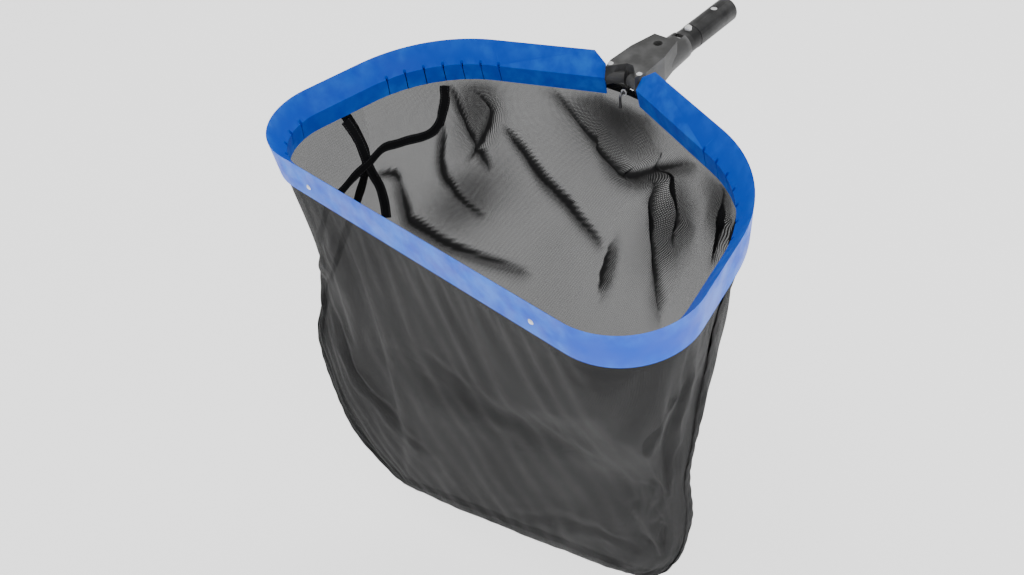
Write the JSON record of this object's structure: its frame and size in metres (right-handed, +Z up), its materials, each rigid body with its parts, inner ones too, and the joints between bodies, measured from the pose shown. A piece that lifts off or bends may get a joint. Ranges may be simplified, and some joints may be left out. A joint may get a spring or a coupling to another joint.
{
  "type": "leaf skimmer net",
  "caption": "Deep bag leaf skimmer net: open D-shaped scoop rim with a plastic edge guard, mesh bag, and a yoke whose shank plugs into a pole and is held by a sprung clip with lock pins.",
  "frame": {"origin": "on the pole shank's axis, under the rivet that holds the clip, 64 mm towards the pole from the shank's shoulder", "axes": "+Y along the shank towards the pole, +Z up out of the scoop's open side, +X across the scoop; the bag hangs along -Z"},
  "size_m": [0.524, 0.5288, 0.5664],
  "materials": {
    "hoop_metal": "satin",
    "black_fabric": "matt woven tape",
    "blue_plastic": "satin moulded",
    "rivet_metal": "bright",
    "hook_metal": "dark satin wire",
    "black_plastic": "satin moulded",
    "grey_plastic": "satin moulded",
    "clip_plastic": "satin moulded",
    "pin_plastic": "white moulded",
    "mesh_fabric": "fine open woven mesh"
  },
  "bodies": {
    "net": {"frame_hoop": "hoop_metal", "hem_sleeve": "black_fabric", "edge_guard": "blue_plastic", "guard_rivets": "rivet_metal", "pole_shank": "black_plastic", "yoke_body": "grey_plastic", "yoke_bolt": "rivet_metal", "yoke_nut": "rivet_metal", "hoop_rivets": "rivet_metal", "clip_bridge": "clip_plastic", "clip_rivet": "rivet_metal", "handle_hem_band": "black_fabric", "hem_eyelet": "rivet_metal", "bag_hook": "hook_metal", "bag_front_panel": "mesh_fabric", "bag_back_panel": "mesh_fabric", "seam_binding": "black_fabric", "left_cross_tape": "black_fabric", "right_cross_tape": "black_fabric", "left_long_tape": "black_fabric", "right_long_tape": "black_fabric"},
    "upper_arm": {"upper_clip_arm": "clip_plastic", "upper_lock_pin": "pin_plastic", "upper_finger_pad": "pin_plastic"},
    "lower_arm": {"lower_clip_arm": "clip_plastic", "lower_lock_pin": "pin_plastic", "lower_finger_pad": "pin_plastic"}
  },
  "joints": [
    {"name": "upper_arm_press", "type": "hinge", "parent": "net", "child": "upper_arm", "pos_m": [0, -0.0083, 0.0072], "axis": [1, 0, 0], "range_deg": [0, 4.5], "stiffness_Nm_per_rad": 8, "springref_deg": -1.15},
    {"name": "lower_arm_press", "type": "hinge", "parent": "net", "child": "lower_arm", "pos_m": [0, -0.0083, -0.0072], "axis": [-1, 0, 0], "range_deg": [0, 4.5], "stiffness_Nm_per_rad": 8, "springref_deg": -1.15}
  ]
}
